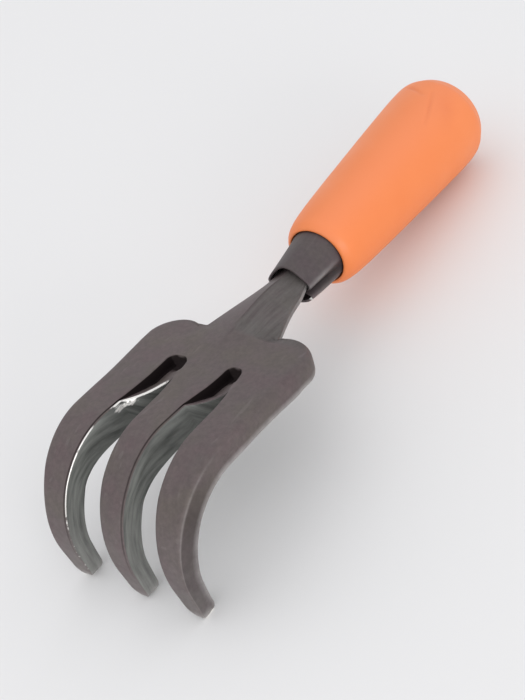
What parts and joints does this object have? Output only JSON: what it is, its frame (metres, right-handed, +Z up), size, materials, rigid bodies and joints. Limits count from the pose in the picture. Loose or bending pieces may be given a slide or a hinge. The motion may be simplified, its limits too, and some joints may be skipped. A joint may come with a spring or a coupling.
{
  "type": "hand cultivator",
  "caption": "Pronged hand cultivator: pressed steel claw head with a raised neck, thin steel ferrule and fat rounded plastic handle.",
  "frame": {"origin": "middle of the overall box, at floor level under the tool", "axes": "+X from the handle's butt to the tines, level with the floor; +Y to the tool's left; +Z up. The tool rests on its three tips and the underside of its butt."},
  "size_m": [0.2602, 0.078, 0.0528],
  "materials": {
    "head_steel": "satin dark grey coating, worn to bare steel on one ridge",
    "ferrule_steel": "satin dark brown-grey coating",
    "handle_plastic": "satin orange moulding"
  },
  "bodies": {
    "root": {"head": "head_steel", "ferrule": "ferrule_steel", "handle": "handle_plastic"}
  },
  "joints": []
}
